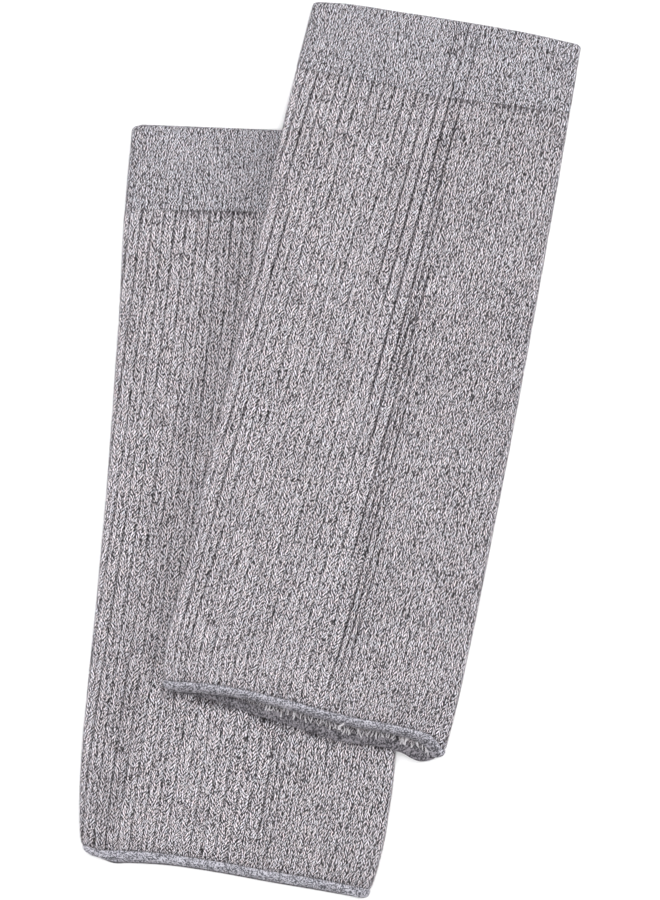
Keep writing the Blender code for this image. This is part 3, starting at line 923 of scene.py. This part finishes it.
def build_loops(warmer, material):
    """Slack loops of yarn inside the mouth, along the back layer above its hem, and one loose end."""
    random = np.random.default_rng(warmer.seed + 3)
    middle = length_of(warmer) - HEM_WIDTH + LOOP_ABOVE
    steps = np.linspace(0, 1, LOOP_STEPS)
    points = []
    dark = []
    for share in np.arange(LOOPS_FROM, LOOPS_TO, LOOP_SPACING):
        size = random.uniform(*LOOP_SIZES)
        lean = random.uniform(*LOOP_LEANS)
        along = middle + random.uniform(*LOOP_SHIFTS) + (steps - 0.5) * LOOP_LENGTH * size
        bend = random.uniform(*LOOP_BENDS) * np.sin(np.pi * steps)
        shares = share + (steps * lean + bend) * LOOP_SPACING
        lift = LAYER_GAP / 2 - LOOP_RISE * size * np.sin(np.pi * steps)
        path = wall_points(warmer, along, shares, np.full(LOOP_STEPS, -90.0), lift)
        points.append(yarn_tube(path, LOOP_RADIUS * MM * size))
        # Painted shade, darkest at the loop's upper end under the front layer
        fade = LOOP_DARK - LOOP_DARK_FALL * steps + random.uniform(*LOOP_DARK_DRAWS)
        dark.append(np.repeat(np.clip(fade, 0, 1), LOOP_SIDES))
    points.append(yarn_tube(loose_end(warmer, steps), END_RADIUS * MM))
    dark.append(np.zeros(LOOP_STEPS * LOOP_SIDES))
    quads = np.concatenate([tube_quads(i * LOOP_STEPS * LOOP_SIDES) for i in range(len(points))])
    points = np.concatenate(points)
    blank = np.zeros(len(points))
    attributes = {"ribbed": blank, "dark": np.concatenate(dark), "rim": blank}
    uv = np.zeros((quads.size, 2))
    return new_piece(warmer.name + "_mouth_loops", points, quads, material, uv, attributes)


def loose_end(warmer, steps):
    """The path of the thread's end that hangs from the front's hem."""
    along = length_of(warmer) - END_START + steps * END_LENGTH
    shares = END_SHARE + END_BEND * np.sin(2 * np.pi * steps)
    lift = FLAT_THICKNESS / 2 + END_RISE - END_FALL * steps
    return wall_points(warmer, along, shares, np.full(LOOP_STEPS, 90.0), lift)


def yarn_tube(path, radius):
    """Rings of points round a path."""
    ahead = np.gradient(path, axis=0)
    ahead = ahead / np.linalg.norm(ahead, axis=1)[:, None]
    side = np.cross(ahead, (0, 0, 1))
    side = side / np.linalg.norm(side, axis=1)[:, None]
    up = np.cross(side, ahead)
    turns = np.arange(LOOP_SIDES) * 2 * np.pi / LOOP_SIDES
    ring = np.cos(turns)[None, :, None] * side[:, None] + np.sin(turns)[None, :, None] * up[:, None]
    return (path[:, None] + radius * ring).reshape(-1, 3)


def tube_quads(first):
    """The faces between the rings of one tube, whose points begin at this number."""
    ring, turn = np.meshgrid(np.arange(LOOP_STEPS - 1), np.arange(LOOP_SIDES), indexing="ij")
    after = (turn + 1) % LOOP_SIDES
    low, high = ring * LOOP_SIDES, (ring + 1) * LOOP_SIDES
    corners = (low + turn, low + after, high + after, high + turn)
    return first + np.stack(corners, axis=-1).reshape(-1, 4)


def new_material(name, surface):
    """A material, and its shader with these values set."""
    material = bpy.data.materials.new(name)
    material.use_nodes = True
    shader = material.node_tree.nodes["Principled BSDF"]
    for key, value in surface.items():
        shader.inputs[key].default_value = value
    return material, shader


class Nodes:
    """Short calls for building the node tree of a yarn's material."""

    def __init__(self, name):
        self.material, self.shader = new_material(name, YARN_SURFACE)
        self.tree = self.material.node_tree

    def add(self, kind, feeds=None, **settings):
        """A new node with these settings, fed with numbers, colours or other nodes' outputs."""
        node = self.tree.nodes.new(kind)
        for key, value in settings.items():
            setattr(node, key, value)
        for key, value in (feeds or {}).items():
            if isinstance(value, (int, float, tuple)):
                node.inputs[key].default_value = value
            else:
                self.tree.links.new(value, node.inputs[key])
        return node

    def math(self, operation, a, b=0.0, c=0.0, clamp=False):
        """One step of arithmetic."""
        feeds = {0: a, 1: b, 2: c}
        return self.add("ShaderNodeMath", feeds, operation=operation, use_clamp=clamp).outputs[0]

    def vector(self, x, y, z=0.0):
        """A vector from its three parts."""
        return self.add("ShaderNodeCombineXYZ", {0: x, 1: y, 2: z}).outputs[0]

    def knit_map(self):
        """The wale and the course of each place."""
        place = self.add("ShaderNodeUVMap", uv_map="knit").outputs[0]
        split = self.add("ShaderNodeSeparateXYZ", {0: place})
        return split.outputs[0], split.outputs[1]

    def attribute(self, name):
        """A number that the mesh carries at its points."""
        return self.add("ShaderNodeAttribute", attribute_name=name).outputs["Fac"]

    def noise(self, vector, detail, scale=1.0):
        """Smooth noise from 0 to 1."""
        feeds = {"Vector": vector, "Scale": scale, "Detail": detail}
        return self.add("ShaderNodeTexNoise", feeds, noise_dimensions="3D").outputs["Fac"]

    def object_noise(self, scale, detail):
        """Smooth noise over the object's own coordinates."""
        return self.noise(self.add("ShaderNodeTexCoord").outputs["Object"], detail, scale)

    def grain(self, x, y, stagger=0.0):
        """A random number from 0 to 1 in each cell. Each column of cells is moved by the stagger."""
        column = self.math("FLOOR", x)
        row = self.math("FLOOR", self.math("ADD", y, self.math("MULTIPLY", column, stagger)))
        feeds = {"Vector": self.vector(column, row)}
        return self.add("ShaderNodeTexWhiteNoise", feeds, noise_dimensions="2D").outputs["Value"]

    def vary(self, value, noise, share, clamp=False):
        """A value raised and lowered by a share of a noise from 0 to 1."""
        change = self.math("MULTIPLY", self.math("SUBTRACT", noise, 0.5), share)
        return self.math("ADD", value, change, clamp=clamp)

    def vary_knit(self, value, wale, course, kind):
        """A value varied by one of the knit's own noises."""
        x = self.math("MULTIPLY", wale, kind.across)
        y = self.math("MULTIPLY", course, kind.down)
        return self.vary(value, self.noise(self.vector(x, y), kind.detail), kind.share)

    def slanted(self, wale, course, yarn):
        """How many courses down a place lies along its own leg of a stitch."""
        legs = self.math("MULTIPLY", wale, 0.5 * yarn.legs)
        part = self.math("FRACT", self.math("ADD", legs, yarn.shift))
        slant = self.math("ABSOLUTE", self.math("SUBTRACT", part, 0.5))
        return self.math("SUBTRACT", course, self.math("MULTIPLY", slant, 2 * yarn.slant))

    def strokes(self, wale, course, yarn):
        """Light and dark strokes along the stitches' legs, with each leg's own pattern."""
        leg = self.math("FLOOR", self.math("MULTIPLY", wale, yarn.legs))
        x = self.math("MULTIPLY", wale, yarn.across)
        y = self.math("MULTIPLY", self.slanted(wale, course, yarn), yarn.down)
        soft = self.noise(self.vector(x, y, self.math("MULTIPLY", leg, LEG_OFFSET)), detail=0.0)
        soft = self.math("MULTIPLY_ADD", soft, SOFT_CONTRAST, 0.5 * (1 - SOFT_CONTRAST))
        return self.mix(GRAIN, soft, self.grain(x, y, STAGGER))

    def marl(self, wale, course, ribbed):
        """The strokes of plain knit and of ribs, mixed by how far a place is ribbed."""
        plain = self.strokes(wale, course, PLAIN_YARN)
        return self.mix(ribbed, plain, self.strokes(wale, course, RIB_YARN))

    def ridges(self, wale, course, ribbed):
        """Painted light and shade on the rise and fall of every course along the legs, from -1 to 1."""
        plain = self.slanted(wale, course, PLAIN_YARN)
        rib = self.slanted(wale, course, RIB_YARN)
        return self.math("COSINE", self.math("MULTIPLY", self.mix(ribbed, plain, rib), 2 * math.pi))

    def columns(self, wale, ribbed):
        """The lighter legs of the stitches and the painted shade in the gaps between them, from -1 to
        just over 0.5.
        """
        legs = self.math("COSINE", self.math("MULTIPLY", wale, 4 * math.pi))
        wales = self.math("COSINE", self.math("MULTIPLY", wale, 2 * math.pi))
        plain = self.math("MULTIPLY", self.math("ADD", legs, wales), -0.5)
        return self.mix(ribbed, plain, self.math("MULTIPLY", wales, -0.5))

    def broken_lines(self, wale, course):
        """Thin broken lines of painted shade down every second wale, in the furrows between ribs, from 0
        to 1.
        """
        half = self.math("MULTIPLY", wale, 0.5)
        off = self.math("ABSOLUTE", self.math("SUBTRACT", half, self.math("ROUND", half)))
        line = self.math("SUBTRACT", 1.0, self.math("DIVIDE", off, LINE_WIDTH), clamp=True)
        place = self.vector(self.math("ROUND", half), self.math("MULTIPLY", course, LINE_BREAKS))
        broken = self.math("SUBTRACT", self.noise(place, detail=1.0), LINE_GAPS)
        return self.math("MULTIPLY", line, self.math("MULTIPLY", broken, BREAK_SHARPNESS, clamp=True))

    def mix(self, factor, a, b):
        """A number between two others."""
        return self.add("ShaderNodeMix", {0: factor, 2: a, 3: b}, data_type="FLOAT").outputs[0]

    def ramp(self, value, *colours):
        """A colour from evenly spaced ones, by a value from 0 to 1."""
        node = self.add("ShaderNodeValToRGB", {"Fac": value})
        elements = node.color_ramp.elements
        while len(elements) < len(colours):
            elements.new(0.5)
        for i, (element, colour) in enumerate(zip(elements, colours)):
            element.position = i / (len(colours) - 1)
            element.color = (*colour, 1)
        return node.outputs["Color"]

    def mix_colour(self, blend, factor, a, b):
        """Two colours blended."""
        feeds = {0: factor, 6: a, 7: b}
        return self.add("ShaderNodeMix", feeds, data_type="RGBA", blend_type=blend).outputs[2]

    def finish(self, colour, height, distance, strength):
        """The material, with this colour and a fine relief."""
        feeds = {"Height": height, "Distance": distance, "Strength": strength}
        relief = self.add("ShaderNodeBump", feeds).outputs["Normal"]
        self.tree.links.new(relief, self.shader.inputs["Normal"])
        self.tree.links.new(colour, self.shader.inputs["Base Color"])
        return self.material


def marl_material(marl):
    """Marl knit: the dark and light plies of each stitch's legs show as short fine strokes."""
    n = Nodes(marl.name)
    wale, course = n.knit_map()
    ribbed = n.attribute("ribbed")
    stroke = n.marl(wale, course, ribbed)
    beside = n.marl(n.math("ADD", wale, PLY_WIDTH), course, ribbed)
    value = n.math("SUBTRACT", stroke, n.math("MULTIPLY", beside, BESIDE))
    value = n.math("MULTIPLY", n.math("SUBTRACT", value, 0.5 * (1 - BESIDE)), marl.contrast)
    value = n.vary(value, n.object_noise(CLOUD_SCALE, detail=2.0), CLOUD_SHARE)
    value = n.vary_knit(value, wale, course, MOTTLE)
    value = n.vary_knit(value, wale, course, STREAK)
    # Painted light and shade: the courses' ridges lighter and darker, the gaps between the wales darker
    value = n.math("ADD", value, n.math("MULTIPLY", n.ridges(wale, course, ribbed), RIDGES))
    value = n.math("ADD", value, n.math("MULTIPLY", n.columns(wale, ribbed), COLUMNS))
    # The painted highlight along the folds: the strokes are smoothed towards a paler value
    value = n.mix(n.math("MULTIPLY", n.attribute("rim"), RIM_SMOOTH), value, RIM_HIGHLIGHT_LEVEL)
    value = n.math("MULTIPLY_ADD", ribbed, RIBBED_LEVEL, n.math("ADD", value, marl.level), clamp=True)
    colour = n.ramp(value, DARK_PLY, MIXED_PLY, marl.light_ply)
    stitch = n.grain(n.math("MULTIPLY", wale, TINTS_ACROSS), n.math("MULTIPLY", course, TINTS_DOWN))
    colour = n.mix_colour("MULTIPLY", 1.0, colour, n.mix_colour("MIX", stitch, WARM_TINT, COOL_TINT))
    # Painted shade: the mesh's shade and the thin lines in the furrows darken the colour
    lines = n.math("MULTIPLY", n.broken_lines(wale, course), ribbed)
    amount = n.math("MAXIMUM", n.math("MULTIPLY", n.attribute("dark"), SHADE_SHARE), lines)
    colour = n.mix_colour("MULTIPLY", amount, colour, SHADE_COLOUR)
    return n.finish(colour, stroke, distance=0.0003, strength=0.3)


def thread_material(thread):
    """Fuzzy overedge thread with paler flecks."""
    n = Nodes(thread.name)
    fleck = n.object_noise(FLECK_SCALE, detail=1.0)
    value = n.vary(0.5, fleck, FLECK_CONTRAST)
    value = n.vary(value, n.object_noise(THREAD_CLOUD_SCALE, detail=2.0), 1.0)
    wale, course = n.knit_map()
    x = n.math("MULTIPLY", wale, THREAD_ACROSS)
    grain = n.grain(x, n.math("MULTIPLY", course, THREAD_DOWN), STAGGER)
    value = n.vary(value, grain, THREAD_GRAIN, clamp=True)
    colour = n.ramp(value, thread.dark, thread.middle, thread.light)
    # Painted shade carried by the mesh darkens the colour: below the hem's roll, inside it, and along the
    # loops
    colour = n.mix_colour("MULTIPLY", n.attribute("dark"), colour, THREAD_SHADE_COLOUR)
    return n.finish(colour, fleck, distance=0.0004, strength=0.7)


def build_floor():
    """A plain pale floor, wide enough for every view."""
    mesh = bpy.data.meshes.new("floor")
    half = FLOOR_SIZE / 2
    corners = [(-half, -half, 0), (half, -half, 0), (half, half, 0), (-half, half, 0)]
    mesh.from_pydata(corners, [], [(0, 1, 2, 3)])
    mesh.materials.append(new_material("floor_white", FLOOR_SURFACE)[0])
    floor = bpy.data.objects.new("floor", mesh)
    floor.location = (0, 0, -FLOOR_DROP)
    bpy.context.scene.collection.objects.link(floor)


def add_softbox(box):
    """A rectangular light that is turned to the middle of the pair."""
    data = bpy.data.lights.new(box.name, "AREA")
    data.shape = "RECTANGLE"
    data.size = box.width
    data.size_y = box.height
    data.energy = box.power
    light = bpy.data.objects.new(box.name, data)
    light.location = box.place
    x, y, z = box.place
    light.rotation_euler = (math.atan2(math.hypot(x, y), z), 0, math.atan2(x, -y))
    light.visible_camera = False
    bpy.context.scene.collection.objects.link(light)


def build_lights():
    """A broad overhead softbox, one at each side, and a pale surround."""
    for box in SOFTBOXES:
        add_softbox(box)
    world = bpy.data.worlds.new("surround")
    world.use_nodes = True
    background = world.node_tree.nodes["Background"]
    background.inputs["Color"].default_value = (1.0, 1.0, 1.0, 1)
    background.inputs["Strength"].default_value = SURROUND
    bpy.context.scene.world = world


def build_camera():
    """Straight above the middle of the pair, framing it as the photograph does."""
    data = bpy.data.cameras.new("camera")
    data.sensor_width = SENSOR
    data.lens = SENSOR * CAMERA_HEIGHT / (PHOTO_HEIGHT * PIXEL)
    data.clip_end = 100.0
    camera = bpy.data.objects.new("camera", data)
    camera.location = (0, CAMERA_Y * MM, CAMERA_HEIGHT * MM)
    bpy.context.scene.collection.objects.link(camera)
    bpy.context.scene.camera = camera


UNDER_OUTLINE = outline(UNDER)

build_camera()
build_floor()
build_lights()
bpy.context.scene.view_settings.view_transform = "Standard"

leg_marl = marl_material(LEG_MARL)
welt_marl = marl_material(WELT_MARL)
hem_thread = thread_material(HEM_THREAD)
loop_thread = thread_material(LOOP_THREAD)
for warmer in (UNDER, UPPER):
    leg = build_body(warmer, leg_marl)
    welt = build_welt(warmer, welt_marl)
    hem = build_hem(warmer, hem_thread)
    edging = [hem] if warmer is UNDER else [hem, build_loops(warmer, loop_thread)]
